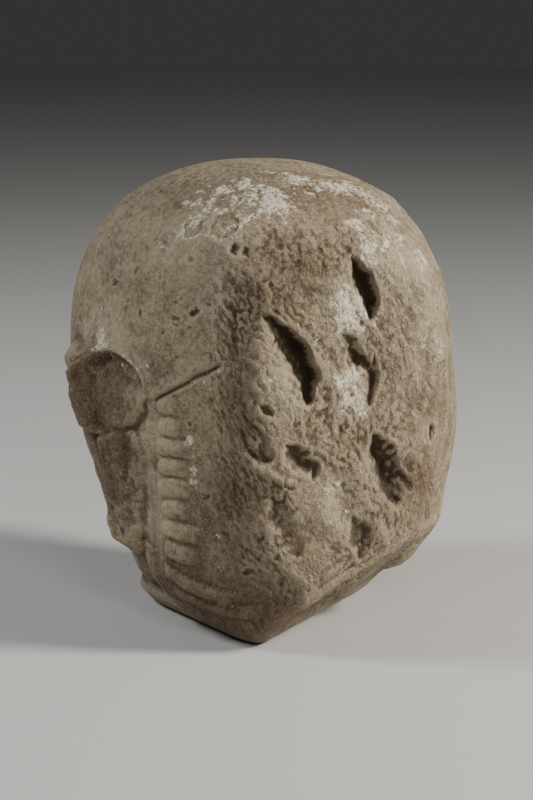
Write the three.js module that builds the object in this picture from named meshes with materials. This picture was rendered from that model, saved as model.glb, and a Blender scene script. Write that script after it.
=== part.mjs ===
import * as THREE from 'three';

// A statue head in weathered stone, bald and bearded, broken off at the jaw, with its face hacked away.
// Millimetres, +Z up. The head looked along -Y and its own right side is on -X.
// Bearings are degrees round the vertical from the front, positive toward the head's right side.
// Heights are above the flat break the head rests on.

// the block before carving
const HEART_Z = 116;
const SKULL = { at: [-2, -1, 144], half: [92.5, 116, 101.5], flat: 2.0, stack: 2.33 };
const JAW = { at: [-2.5, -14.5, 78], half: [81.5, 97.5, 112], flat: 2.2, stack: 2.2 };
const JAW_BLEND = 14;

// broad flat breaks: the way each one faces, how far it falls below level, its distance from the heart
const BREAKS = [
  { name: 'face', bearing: 20, fall: -4, reach: 101, blend: 8 },
  { name: 'right_jaw', bearing: 98, fall: 47, reach: 117.2, blend: 7 },
  { name: 'chin', bearing: -19, fall: 51, reach: 113.7, blend: 5 },
  { name: 'left_jaw', bearing: 6, fall: 27, reach: 125.8, blend: 4 },
];
const SEAT_BLEND = 3;
const SEAT_CLEAR = [3, 12];

// the carving is laid out on a strip round the head: bearing turned into millimetres at this radius
const STRIP_RADIUS = 95;

// a leaf-shaped ear lying back, hollowed under its upper edge, its lower front corner proud, a knob at the rear
const EAR = {
  bearing: 99.4, height: 131, long: 33, tall: 21.5, lean: 5,
  lobe: { bearing: 109, height: 115.5, long: 16, tall: 13 }, blend: 10,
  frontLift: [4.6, 0.2], frontHeights: [124, 142], rearLift: 10.5, rearReach: [4, 30],
  lobeLift: 0.72, lobeHeights: [94, 118], bulge: { share: 0.62, reach: 9 },
  edge: 2.4, rim: 0.3, rearRim: 2.6, rimSlope: 2.8,
  well: { depth: 6.6, bearings: [95, 111], heights: [128, 147] },
  crease: { depth: 0.9, out: 0.5, half: 1.5, bearings: [98, 90], heights: [134, 124] },
  brow: { lift: 0.9, out: 1.6, half: 3.2, heights: [138, 150] },
  knob: { bearing: 120.5, height: 144, long: 13, tall: 13, lift: 7.5, slope: 10 },
};

// the thick lock that falls under the ear, the edge of the hair behind it, the hollow under both
const LOCK = {
  path: [[97, 98], [104, 58]], half: 24, slope: 3.8, lift: [5.6, 4.8], clear: 1.6,
  front: 2.3, rise: [84, 101],
};
const LOCK_RECESS = { path: [[91.5, 107], [95.5, 84]], half: [5.4, 3.0], depth: 2.4 };
const HAIR_EDGE = { path: [[118.5, 114], [118, 90], [114, 54]], half: 11, slope: 5, lift: 4.4 };
const UNDERCUT = { heights: [48, 38], foot: [7, 14], bearings: [90, 101], rear: [158, 138], depth: 6.8 };

// the beard: a plain channel, a ladder of ribs in front of it, two long folds along the jaw
const CHANNEL = { path: [[78.8, 113], [81, 86], [83, 62], [84.2, 38], [88, 20]], half: 5.5, slope: 4, depth: 0.6 };
const RIBS = {
  count: 8, top: 129.5, pitch: [10.9, 12.1], half: [4.9, 5.5], lift: [2.8, 3.2], drop: [-0.15, 0.08], level: 70,
  rear: [76, 79], rearHeights: [125, 80], roundEnd: 4, front: [64.5, 60.5], frontEase: 6, frontLift: 0.45,
  shift: [0, 1.2, -1.5, 0.8, -0.6, 1.4, -1, 0.4], share: [0.7, 0.9, 1, 0.85, 1.05, 1.1, 1, 0.85],
};
const RIB_END_SHIFT = 0.4;
const FOLDS = [
  { rear: [79, 36.5], front: [47, 29.5], sag: 2.2, half: 5.2, lift: 2.2 },
  { rear: [76, 25.5], front: [40, 22.5], sag: 2.4, half: 4.6, lift: 1.8 },
];
const FOLD_ENDS = { overrun: 2, rear: 4, front: 8 };

// the cut line that runs from the ear over the cheek, with the skull standing slightly proud above it
const CAP_LINE = {
  path: [[54.2, 153.8], [64.3, 142.8], [76, 131]], half: 1.3, depth: 1.8,
  lip: 1.5, lipSlope: 2.2, lipReach: 16, lipFade: 14, lipEnds: [6, 5],
};

// the left side carries the same ear, lock and beard, starting where the face break ends
const LEFT_START = [62, 70];

// the rough zone where the face has gone: its right edge as bearings at rising heights, and its other bounds
const ROUGH = {
  heights: [26, 99, 167, 226], edge: [52, 59, 57, 38], edgeFade: 10, left: [-72, -58], top: [226, 217], step: 1.6,
};

// pick gouges and smaller pits: leaning almonds with one steep wall and a low burr on the other side
const GOUGES = [
  { name: 'great', bearing: 33, height: 155, half: 26, wide: 12.6, depth: 15, lean: 25, skew: 0.82, burr: 2.4 },
  { name: 'brow', bearing: 10.4, height: 189.5, half: 17.5, wide: 10.5, depth: 12.5, lean: 15, skew: 0.77, burr: 1 },
  { name: 'brow_spill', bearing: 14, height: 179, half: 13, wide: 10, depth: 2.6, lean: 20, skew: 0.2, burr: 0 },
  { name: 'middle', bearing: 14.2, height: 157, half: 10.5, wide: 8.5, depth: 3.2, lean: 24, skew: 0.4, burr: 0 },
  { name: 'middle_slope', bearing: 11.5, height: 145, half: 15, wide: 10, depth: 4.6, lean: 18, skew: 0.8, burr: 1 },
  { name: 'crevice', bearing: 6.6, height: 146, half: 11, wide: 2.8, depth: 1.8, lean: 2, skew: 0.2, burr: 0 },
  { name: 'lower', bearing: 5.2, height: 96, half: 21, wide: 12, depth: 12, lean: 16, skew: 0.45, burr: 2 },
  { name: 'cheek_hollow', bearing: 35, height: 70, half: 19, wide: 10, depth: 3.2, lean: 24, skew: 0.2, burr: 0.8 },
  { name: 'chin_hollow', bearing: 13.5, height: 62, half: 13, wide: 8, depth: 2.6, lean: 14, skew: 0, burr: 0.6 },
  { name: 'cheek_pit', bearing: 31.5, height: 105.5, half: 10, wide: 9, depth: 4, lean: 42, skew: 0, burr: 0 },
  { name: 'cheek_pit_2', bearing: 27.5, height: 100, half: 6, wide: 5, depth: 2.4, lean: 10, skew: 0.2, burr: 0 },
  { name: 'crack', bearing: 42, height: 108, half: 8, wide: 7, depth: 2.2, lean: 60, skew: -0.3, burr: 0.5 },
  { name: 'nick', bearing: 40, height: 131, half: 5, wide: 4, depth: 3, lean: 38, skew: 0.1, burr: 0 },
  { name: 'far_pit', bearing: -10.8, height: 112.5, half: 5, wide: 3.6, depth: 3.2, lean: 20, skew: 0, burr: 0 },
  { name: 'temple', bearing: 50, height: 172, half: 30, wide: 22, depth: 2.2, lean: 12, skew: 0, burr: 0 },
  { name: 'far_scar', bearing: -6, height: 158, half: 26, wide: 12, depth: 1.2, lean: 22, skew: 0.2, burr: 0 },
];
const GOUGE_POINT = 0.75;
const GOUGE_FLOOR = 0.6;
const NARROWEST_END = 0.02;
const SLOPE_IN = 1.4;
const BURR = { offset: 1.15, half: 0.45 };

// what the blows left standing between them, and where the block swells past its plain form
const CRESTS = [
  { name: 'middle_stump', bearing: 22, height: 147, half: 27, wide: 8, lift: 2.6, lean: 27 },
  { name: 'crown_swell', bearing: -46, height: 216, half: 42, wide: 46, lift: 4, lean: 0 },
  { name: 'crown_top', bearing: -92, height: 238, half: 60, wide: 54, lift: 1.7, lean: 0 },
  { name: 'far_swell', bearing: -42, height: 104, half: 60, wide: 36, lift: 6.4, lean: 0 },
  { name: 'low_swell', bearing: -30, height: 34, half: 22, wide: 18, lift: 4.5, lean: 0 },
  { name: 'ledge', bearing: 38, height: 97.5, half: 19, wide: 4.6, lift: 2.2, lean: 66 },
  { name: 'cheek_ledge', bearing: 23.5, height: 77, half: 20, wide: 12, lift: 3.4, lean: 14 },
  { name: 'cheek_swell', bearing: 38, height: 118, half: 24, wide: 13, lift: 1.8, lean: 26 },
  { name: 'chin_ledge', bearing: 6, height: 63, half: 13, wide: 9, lift: 2.4, lean: 30 },
];
const MARK_REACH = 2;

// the mesh
const FIRST_RINGS = 12;
const REFINE_ROUNDS = 3;
const REFINE_SAG = 0.34;
const SHORTEST_EDGE = 2.6;
const SAG_SAMPLES = [0.25, 0.5, 0.75];
const FLIP_ROUNDS = 2;
const FLIP_GAIN = 0.8;
const FLATTEST_FLIP = 1e-5;
const SAME_CORNER = 1e5;
const SEARCH = { near: 30, far: 190, steps: 20 };
const SLOPE_STEP = 0.8;

const stone = new THREE.MeshStandardMaterial({ color: 0x857a66, roughness: 0.86, metalness: 0 });
stone.name = 'stone';

const radians = THREE.MathUtils.degToRad;
const clamp = (t) => Math.min(Math.max(t, 0), 1);
const ramp = (t) => clamp(t) ** 2 * (3 - 2 * clamp(t));
const mix = (a, b, t) => a + (b - a) * t;

// 0 at the first bound, 1 at the second, eased between; the bounds may run either way
const between = (value, [none, full]) => ramp((value - none) / (full - none));

// a rounded bar seen across, and a soft-edged groove
const dome = (off, half) => (1 - clamp(Math.abs(off) / half) ** 2) ** 0.8;
const furrow = (off, half) => Math.exp(-((off / half) ** 2));

function smoothMin(a, b, blend) {
  const h = clamp(0.5 + (0.5 * (b - a)) / blend);
  return mix(b, a, h) - blend * h * (1 - h);
}

const smoothMax = (a, b, blend) => -smoothMin(-a, -b, blend);

// height of a line of [bearing, height] spots at a bearing, level beyond its ends
function along(table, values, t) {
  if (t <= table[0]) return values[0];
  for (let i = 1; i < table.length; i++) {
    if (t < table[i]) return mix(values[i - 1], values[i], (t - table[i - 1]) / (table[i] - table[i - 1]));
  }
  return values[values.length - 1];
}

function egg(p, { at, half, flat, stack }) {
  const x = Math.abs((p.x - at[0]) / half[0]);
  const y = Math.abs((p.y - at[1]) / half[1]);
  const z = Math.abs((p.z - at[2]) / half[2]);
  const ring = (x ** flat + y ** flat) ** (1 / flat);
  return ((ring ** stack + z ** stack) ** (1 / stack) - 1) * Math.min(...half);
}

function facing(bearing, fall) {
  const b = radians(bearing);
  const f = radians(fall);
  return new THREE.Vector3(-Math.sin(b) * Math.cos(f), -Math.cos(b) * Math.cos(f), -Math.sin(f));
}

const heart = new THREE.Vector3(0, 0, HEART_Z);
const breakPlanes = BREAKS.map((b) => ({ out: facing(b.bearing, b.fall), reach: b.reach, blend: b.blend }));

// distance to the uncarved block, negative inside
function block(p) {
  let d = smoothMin(egg(p, SKULL), egg(p, JAW), JAW_BLEND);
  for (const { out, reach, blend } of breakPlanes) {
    d = smoothMax(d, out.dot(p) - out.dot(heart) - reach, blend);
  }
  return smoothMax(d, -p.z, SEAT_BLEND);
}

// the point where a ray leaves the block
function leave(from, direction) {
  let { near, far } = SEARCH;
  const p = new THREE.Vector3();
  for (let i = 0; i < SEARCH.steps; i++) {
    const t = (near + far) / 2;
    p.copy(from).addScaledVector(direction, t);
    if (block(p) < 0) near = t;
    else far = t;
  }
  return p;
}

function outward(p) {
  const n = new THREE.Vector3();
  const q = new THREE.Vector3();
  for (const axis of ['x', 'y', 'z']) {
    q.copy(p);
    q[axis] += SLOPE_STEP;
    const ahead = block(q);
    q[axis] -= 2 * SLOPE_STEP;
    n[axis] = ahead - block(q);
  }
  return n.normalize();
}

// places on the strip
const strip = ([bearing, height]) => [radians(bearing) * STRIP_RADIUS, height];

function oval(u, z, { bearing, height, long, tall, lean = 0 }) {
  const [cu, cz] = strip([bearing, height]);
  const a = radians(lean);
  const x = (u - cu) * Math.cos(a) - (z - cz) * Math.sin(a);
  const y = (u - cu) * Math.sin(a) + (z - cz) * Math.cos(a);
  return (Math.hypot(x / long, y / tall) - 1) * Math.min(long, tall);
}

function fromPath(u, z, path) {
  let nearest = Infinity;
  for (let i = 1; i < path.length; i++) {
    const [au, az] = strip(path[i - 1]);
    const [bu, bz] = strip(path[i]);
    const t = clamp(((u - au) * (bu - au) + (z - az) * (bz - az)) / ((bu - au) ** 2 + (bz - az) ** 2));
    nearest = Math.min(nearest, Math.hypot(u - mix(au, bu, t), z - mix(az, bz, t)));
  }
  return nearest;
}

// negative inside the ear's outline
const earLeaf = (u, z) => smoothMin(oval(u, z, EAR), oval(u, z, EAR.lobe), EAR.blend);

function earRelief(u, z, bearing) {
  const { bulge, well, crease, brow, knob } = EAR;
  const leaf = earLeaf(u, z);
  const [centre] = strip([EAR.bearing, EAR.height]);
  const rear = between(u, EAR.rearReach.map((reach) => centre + reach));
  const lift = mix(mix(...EAR.frontLift, between(z, EAR.frontHeights)), EAR.rearLift, rear)
    * mix(EAR.lobeLift, 1, between(z, EAR.lobeHeights))
    * mix(mix(bulge.share, 1, ramp(-leaf / bulge.reach)), 1, rear);
  const shallow = (1 - between(bearing, well.bearings)) * (1 - between(z, well.heights));
  const hollow = well.depth * (1 - shallow) * ramp((-leaf - EAR.rim - EAR.rearRim * rear) / EAR.rimSlope);
  const front = between(bearing, crease.bearings) * between(z, crease.heights);
  return {
    raised: lift * ramp(-leaf / EAR.edge) + knob.lift * ramp(-oval(u, z, knob) / knob.slope)
      + brow.lift * furrow(leaf - brow.out, brow.half) * between(z, brow.heights),
    sunk: hollow + crease.depth * front * furrow(leaf - crease.out, crease.half),
  };
}

function hairRelief(u, z, bearing) {
  const [[, top], [, end]] = LOCK.path;
  const full = mix(...LOCK.lift, between(z, [end, top]));
  const lock = mix(LOCK.front, full, between(bearing, LOCK.rise))
    * ramp((LOCK.half - fromPath(u, z, LOCK.path)) / LOCK.slope)
    * ramp(earLeaf(u, z) / LOCK.clear + 1);
  const recessHalf = mix(...LOCK_RECESS.half, between(z, LOCK_RECESS.path.map((spot) => spot[1])));
  const recess = LOCK_RECESS.depth * furrow(fromPath(u, z, LOCK_RECESS.path), recessHalf);
  const edge = HAIR_EDGE.lift * ramp((HAIR_EDGE.half - fromPath(u, z, HAIR_EDGE.path)) / HAIR_EDGE.slope);
  const under = between(z, UNDERCUT.heights) * between(z, UNDERCUT.foot)
    * between(bearing, UNDERCUT.bearings) * between(bearing, UNDERCUT.rear);
  return { raised: Math.max(lock, edge), sunk: recess + UNDERCUT.depth * under };
}

function beardRelief(u, z, bearing) {
  let relief = -CHANNEL.depth * ramp((CHANNEL.half - fromPath(u, z, CHANNEL.path)) / CHANNEL.slope);
  const rear = mix(...RIBS.rear, between(z, RIBS.rearHeights));
  let height = RIBS.top;
  for (let i = 0; i < RIBS.count; i++) {
    const t = i / (RIBS.count - 1);
    const off = z - height - mix(...RIBS.drop, t) * (bearing - RIBS.level);
    const front = mix(...RIBS.front, t) + RIBS.shift[i];
    const past = clamp((bearing - rear + RIB_END_SHIFT * RIBS.shift[i]) / RIBS.roundEnd + 1);
    const lift = mix(...RIBS.lift, t) * RIBS.share[i] * mix(RIBS.frontLift, 1, between(bearing, [front, rear]));
    relief += lift * ramp((bearing - front) / RIBS.frontEase) * dome(Math.hypot(off / mix(...RIBS.half, t), past), 1);
    height -= mix(...RIBS.pitch, t);
  }
  for (const { rear: from, front: to, sag, half, lift } of FOLDS) {
    const t = clamp((from[0] - bearing) / (from[0] - to[0]));
    const line = mix(from[1], to[1], t) - sag * 4 * t * (1 - t);
    const ends = ramp((from[0] + FOLD_ENDS.overrun - bearing) / FOLD_ENDS.rear)
      * ramp((bearing - to[0]) / FOLD_ENDS.front);
    relief += lift * ends * dome(z - line, half);
  }
  return relief;
}

function capLineRelief(u, z, bearing) {
  const bearings = CAP_LINE.path.map((spot) => spot[0]);
  const line = along(bearings, CAP_LINE.path.map((spot) => spot[1]), bearing);
  const lip = ramp((z - line) / CAP_LINE.lipSlope)
    * ramp((line + CAP_LINE.lipReach - z) / CAP_LINE.lipFade)
    * ramp((bearing - bearings[0]) / CAP_LINE.lipEnds[0])
    * ramp((bearings.at(-1) - bearing) / CAP_LINE.lipEnds[1] + 1);
  return CAP_LINE.lip * lip - CAP_LINE.depth * furrow(fromPath(u, z, CAP_LINE.path), CAP_LINE.half);
}

function carving(bearing, z) {
  const [u] = strip([bearing, z]);
  const ear = earRelief(u, z, bearing);
  const hair = hairRelief(u, z, bearing);
  return Math.max(ear.raised, hair.raised) - ear.sunk - hair.sunk
    + beardRelief(u, z, bearing) + capLineRelief(u, z, bearing);
}

// each blow gets a place on the block with its own side, long-axis and outward directions
function place(mark) {
  const at = leave(new THREE.Vector3(0, 0, mark.height), facing(mark.bearing, 0));
  const out = outward(at);
  const across = new THREE.Vector3(0, 0, 1).cross(out).normalize();
  const up = out.clone().cross(across);
  const lean = radians(mark.lean);
  return {
    ...mark,
    at,
    side: across.clone().multiplyScalar(Math.cos(lean)).addScaledVector(up, Math.sin(lean)),
    axis: up.clone().multiplyScalar(Math.cos(lean)).addScaledVector(across, -Math.sin(lean)),
  };
}

const gouges = GOUGES.map(place);
const crests = CRESTS.map(place);

// how far p lies across and along a mark, or null where the mark is out of reach
function within(p, mark) {
  const d = p.clone().sub(mark.at);
  if (d.length() > MARK_REACH * mark.half) return null;
  return { x: d.dot(mark.side), t: d.dot(mark.axis) / mark.half };
}

function crestRelief(p, crest) {
  const spot = within(p, crest);
  return spot ? crest.lift * ramp(1 - Math.hypot(spot.x / crest.wide, spot.t)) : 0;
}

function gougeRelief(p, gouge) {
  const spot = within(p, gouge);
  if (!spot) return 0;
  const { wide, skew, depth } = gouge;
  const end = clamp(1 - spot.t ** 2);
  const s = spot.x / (wide * Math.max(end, NARROWEST_END) ** GOUGE_POINT);
  const wall = s < skew ? between(s, [-1, skew]) ** SLOPE_IN : between(s, [1, skew]);
  const burr = gouge.burr * end ** 2 * furrow(spot.x + wide * BURR.offset, wide * BURR.half);
  return burr - depth * end ** GOUGE_FLOOR * wall;
}

function relief(p) {
  const bearing = THREE.MathUtils.radToDeg(Math.atan2(-p.x, -p.y));
  let h = carving(Math.abs(bearing), p.z) * (bearing < 0 ? between(-bearing, LEFT_START) : 1);
  const edge = along(ROUGH.heights, ROUGH.edge, p.z);
  h -= ROUGH.step * ramp((edge - bearing) / ROUGH.edgeFade) * between(bearing, ROUGH.left) * between(p.z, ROUGH.top);
  for (const crest of crests) h += crestRelief(p, crest);
  for (const gouge of gouges) h += gougeRelief(p, gouge);
  return h * between(p.z, SEAT_CLEAR);
}

function stonePoint(direction) {
  const p = leave(heart, direction);
  return p.addScaledVector(outward(p), relief(p));
}

// a ball of directions, split finer only where the stone bends between two corners
const directions = [];
const corners = [];
const sags = new Map();
let triangles = [];

const edgeKey = (a, b) => (a < b ? `${a},${b}` : `${b},${a}`);

function addCorner(direction) {
  directions.push(direction.clone().normalize());
  corners.push(stonePoint(directions.at(-1)));
  return corners.length - 1;
}

function firstBall(rings) {
  const ball = new THREE.IcosahedronGeometry(1, rings - 1).getAttribute('position');
  const known = new Map();
  const index = [];
  for (let i = 0; i < ball.count; i++) {
    const direction = new THREE.Vector3().fromBufferAttribute(ball, i);
    const key = direction.toArray().map((n) => Math.round(n * SAME_CORNER)).join();
    if (!known.has(key)) known.set(key, addCorner(direction));
    index.push(known.get(key));
  }
  for (let i = 0; i < index.length; i += 3) triangles.push(index.slice(i, i + 3));
}

// how far the stone leaves the straight edge between two corners
function sag(a, b) {
  const key = edgeKey(a, b);
  if (sags.has(key)) return sags.get(key);
  const chord = corners[b].clone().sub(corners[a]).normalize();
  let worst = 0;
  for (const t of SAG_SAMPLES) {
    const off = stonePoint(directions[a].clone().lerp(directions[b], t).normalize()).sub(corners[a]);
    worst = Math.max(worst, off.addScaledVector(chord, -off.dot(chord)).length());
  }
  sags.set(key, worst);
  return worst;
}

function refine() {
  const halves = new Map();
  const half = (a, b) => {
    const key = edgeKey(a, b);
    if (!halves.has(key)) {
      const split = corners[a].distanceTo(corners[b]) > SHORTEST_EDGE && sag(a, b) > REFINE_SAG;
      halves.set(key, split ? addCorner(directions[a].clone().add(directions[b])) : -1);
    }
    return halves.get(key);
  };
  triangles = triangles.flatMap(([a, b, c]) => {
    const sides = [[a, b, c], [b, c, a], [c, a, b]];
    const cut = sides.map(([i, j]) => half(i, j));
    const number = cut.filter((m) => m >= 0).length;
    if (number === 0) return [[a, b, c]];
    if (number === 3) return [[a, cut[0], cut[2]], [cut[0], b, cut[1]], [cut[2], cut[1], c], cut];
    const odd = cut.findIndex((m) => (number === 1 ? m >= 0 : m < 0));
    const [i, j, far] = sides[odd];
    if (number === 1) return [[i, cut[odd], far], [cut[odd], j, far]];
    const nearJ = cut[(odd + 1) % 3];
    const nearI = cut[(odd + 2) % 3];
    const shorter = corners[i].distanceTo(corners[nearJ]) < corners[j].distanceTo(corners[nearI]);
    const strips = shorter ? [[i, j, nearJ], [i, nearJ, nearI]] : [[i, j, nearI], [j, nearJ, nearI]];
    return [[nearI, nearJ, far], ...strips];
  });
}

// turn an edge to the other diagonal of its two triangles where that lies closer to the stone
function flip() {
  const owners = new Map();
  const touched = new Set();
  triangles.forEach((t, n) => t.forEach((a, i) => owners.set(`${a},${t[(i + 1) % 3]}`, [n, t[(i + 2) % 3]])));
  const faces = (a, b, c) => directions[a].clone().cross(directions[b]).dot(directions[c]) > FLATTEST_FLIP;
  for (const [key, [n, c]] of owners) {
    const [a, b] = key.split(',').map(Number);
    if (a > b) continue;
    const [m, d] = owners.get(`${b},${a}`);
    if (touched.has(n) || touched.has(m) || !faces(a, d, c) || !faces(d, b, c)) continue;
    if (sag(c, d) > FLIP_GAIN * sag(a, b)) continue;
    triangles[n] = [a, d, c];
    triangles[m] = [d, b, c];
    touched.add(n).add(m);
  }
}

firstBall(FIRST_RINGS);
for (let i = 0; i < REFINE_ROUNDS; i++) {
  refine();
  for (let j = 0; j < FLIP_ROUNDS; j++) flip();
}

// stand the head on its seat, centred over the origin
const bounds = new THREE.Box3().setFromPoints(corners);
const middle = bounds.getCenter(new THREE.Vector3());
const shift = new THREE.Vector3(-middle.x, -middle.y, -bounds.min.z);
const geometry = new THREE.BufferGeometry().setFromPoints(corners.map((p) => p.clone().add(shift)));
geometry.setIndex(triangles.flat());
geometry.computeVertexNormals();

const head = new THREE.Mesh(geometry, stone);
head.name = 'statue_head';

const statue = new THREE.Group();
statue.name = 'statue';
statue.add(head);

export default statue;
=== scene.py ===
import bpy
import math
import numpy as np
from mathutils import Matrix, Vector


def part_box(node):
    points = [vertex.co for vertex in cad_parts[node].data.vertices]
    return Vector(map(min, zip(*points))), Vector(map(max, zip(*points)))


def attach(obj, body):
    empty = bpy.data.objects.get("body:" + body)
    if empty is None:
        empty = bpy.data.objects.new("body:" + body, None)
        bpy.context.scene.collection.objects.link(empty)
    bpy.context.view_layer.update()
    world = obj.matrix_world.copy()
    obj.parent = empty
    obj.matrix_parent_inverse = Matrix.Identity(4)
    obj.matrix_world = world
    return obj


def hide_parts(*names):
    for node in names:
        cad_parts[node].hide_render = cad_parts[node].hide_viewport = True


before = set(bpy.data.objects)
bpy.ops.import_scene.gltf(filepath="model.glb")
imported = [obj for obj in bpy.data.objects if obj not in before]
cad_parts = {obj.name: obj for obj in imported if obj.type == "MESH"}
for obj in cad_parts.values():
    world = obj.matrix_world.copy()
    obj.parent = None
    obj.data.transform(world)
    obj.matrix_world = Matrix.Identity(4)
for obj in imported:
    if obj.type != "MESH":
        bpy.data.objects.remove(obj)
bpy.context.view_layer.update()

# the head is shaped in millimetres and turned into metres at the end
# bearings are degrees round the vertical from the front, positive toward the head's right side (-X)
# heights are above the flat break that the head rests on

headBlock = {
    "heart": (0.0, 0.0, 116.0),  # every ray that finds the surface starts here
    "rays": (30.0, 190.0, 19),  # nearest and furthest way out, and how often that range is halved
    "skull": {"at": (-2, -1, 144), "half": (92.5, 116, 101.5), "flat": 2.0, "stack": 2.33},
    "jaw": {"at": (-2.5, -14.5, 78), "half": (81.5, 97.5, 112), "flat": 2.2, "stack": 2.2},
    "jawBlend": 14,
    # bearing, fall below level, reach from the heart, rounding
    "breaks": [(20, -4, 101, 8), (98, 47, 117.2, 7), (-19, 51, 113.7, 5), (6, 27, 125.8, 4)],
    "seatBlend": 3,
    "seatClear": (3, 12),
    "stripRadius": 95,
    "middle": (-1.72, 2.43),  # the middle of the finished head, which goes over the origin
}
heart = np.array(headBlock["heart"])


def clamp01(t):
    return np.clip(t, 0.0, 1.0)


def ramp(t):
    c = clamp01(t)
    return c * c * (3 - 2 * c)


def mix(a, b, t):
    return a + (b - a) * t


def between(value, bounds):  # 0 at the first bound, 1 at the second, eased
    return ramp((value - bounds[0]) / (bounds[1] - bounds[0]))


def dome(off, half):
    return (1 - clamp01(np.abs(off) / half) ** 2) ** 0.8


def furrow(off, half):
    return np.exp(-((off / half) ** 2))


def smoothMin(a, b, blend):
    h = clamp01(0.5 + 0.5 * (b - a) / blend)
    return mix(b, a, h) - blend * h * (1 - h)


def smoothMax(a, b, blend):
    return -smoothMin(-a, -b, blend)


def facing(bearing, fall=0.0):
    b, f = math.radians(bearing), math.radians(fall)
    return np.array((-math.sin(b) * math.cos(f), -math.cos(b) * math.cos(f), -math.sin(f)))


def eggDistance(p, egg):
    q = np.abs((p - np.array(egg["at"])) / np.array(egg["half"])) + 1e-9  # keeps the powers off zero
    ring = (q[:, 0] ** egg["flat"] + q[:, 1] ** egg["flat"]) ** (1 / egg["flat"])
    return ((ring ** egg["stack"] + q[:, 2] ** egg["stack"]) ** (1 / egg["stack"]) - 1) * min(egg["half"])


def blockDistance(p):  # negative inside the uncarved block
    d = smoothMin(eggDistance(p, headBlock["skull"]), eggDistance(p, headBlock["jaw"]), headBlock["jawBlend"])
    for bearing, fall, reach, blend in headBlock["breaks"]:
        d = smoothMax(d, (p - heart) @ facing(bearing, fall) - reach, blend)
    return smoothMax(d, -p[:, 2], headBlock["seatBlend"])


def leaveBlock(start, directions):  # where rays come out of the uncarved block
    nearest, furthest, halvings = headBlock["rays"]
    near = np.full(len(directions), nearest)
    far = np.full(len(directions), furthest)
    for _ in range(halvings):
        middle = (near + far) / 2
        inside = blockDistance(start + directions * middle[:, None]) < 0
        near = np.where(inside, middle, near)
        far = np.where(inside, far, middle)
    return start + directions * ((near + far) / 2)[:, None]


def unit(rows):
    return rows / np.linalg.norm(rows, axis=1, keepdims=True)


def outwardFrom(p, step=0.8):
    slopes = [blockDistance(p + axis * step) - blockDistance(p - axis * step) for axis in np.eye(3)]
    return unit(np.stack(slopes, axis=1))


def spotOnBlock(bearing, height):
    return leaveBlock(np.array((0.0, 0.0, height)), facing(bearing)[None])


def fromSpot(p, bearing, height):
    return np.linalg.norm(p - spotOnBlock(bearing, height)[0], axis=1)


def latticeValue(i, j, k, seed):  # -1 to 1, the same on every run
    n = (i * 73856093) ^ (j * 19349663) ^ (k * 83492791) ^ (seed * 40503)
    n = ((n ^ (n >> 13)) * 1274126177) & 0xFFFFFFFF
    return ((n ^ (n >> 16)) & 0xFFFF) / 32767.5 - 1.0


def softNoise(p, size, seed):  # -1 to 1, smooth lumps about size across
    q = p / size + seed * 7.31  # each seed has its own place on the lattice
    base = np.floor(q).astype(np.int64)
    t = q - base
    t = t * t * t * (t * (t * 6 - 15) + 10)
    total = np.zeros(len(p))
    for corner in np.ndindex(2, 2, 2):
        a, b, c = np.where(corner, t, 1 - t).T
        total += a * b * c * latticeValue(*(base + corner).T, seed)
    return total


def layeredNoise(p, size, seed, layers=3):
    return sum(softNoise(p, size / 2 ** n, seed + n) / 2 ** n for n in range(layers))


def lumpy(p, sizeAndHeight, seed, layers=2):
    size, height = sizeAndHeight
    return height * layeredNoise(p, size, seed, layers)


def cellNoise(p, size, seed):
    # distance to the nearest and the next cell's point (1 = one cell), the way from the nearest, its values
    q = p / size
    base = np.floor(q).astype(np.int64)
    near = after = np.full(len(p), 9.0)  # further than any cell
    offset = owner = base
    for step in np.ndindex(3, 3, 3):
        cell = base + np.array(step) - 1
        # one point well inside each cell
        jitter = np.stack([latticeValue(*cell.T, seed + s) for s in range(3)], axis=1) * 0.45 + 0.5
        away = q - (cell + jitter)
        d = np.sqrt((away ** 2).sum(axis=1))
        closer = d < near
        after = np.where(closer, near, np.minimum(after, d))
        near = np.where(closer, d, near)
        offset = np.where(closer[:, None], away, offset)
        owner = np.where(closer[:, None], cell, owner)
    values = np.stack([latticeValue(*owner.T, seed + s) for s in range(11, 15)], axis=1)
    return near, after, offset, values


def strip(spot):  # its place on a strip round the head
    return math.radians(spot[0]) * headBlock["stripRadius"], spot[1]


def ovalDistance(u, z, oval):
    cu, cz = strip((oval["bearing"], oval["height"]))
    a = math.radians(oval.get("lean", 0))
    x = (u - cu) * math.cos(a) - (z - cz) * math.sin(a)
    y = (u - cu) * math.sin(a) + (z - cz) * math.cos(a)
    return (np.hypot(x / oval["long"], y / oval["tall"]) - 1) * min(oval["long"], oval["tall"])


def pathDistance(u, z, path):
    nearest = np.full(len(u), 1e6)
    for a, b in zip(path[:-1], path[1:]):
        (au, az), (bu, bz) = strip(a), strip(b)
        t = clamp01(((u - au) * (bu - au) + (z - az) * (bz - az)) / ((bu - au) ** 2 + (bz - az) ** 2))
        nearest = np.minimum(nearest, np.hypot(u - mix(au, bu, t), z - mix(az, bz, t)))
    return nearest


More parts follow.
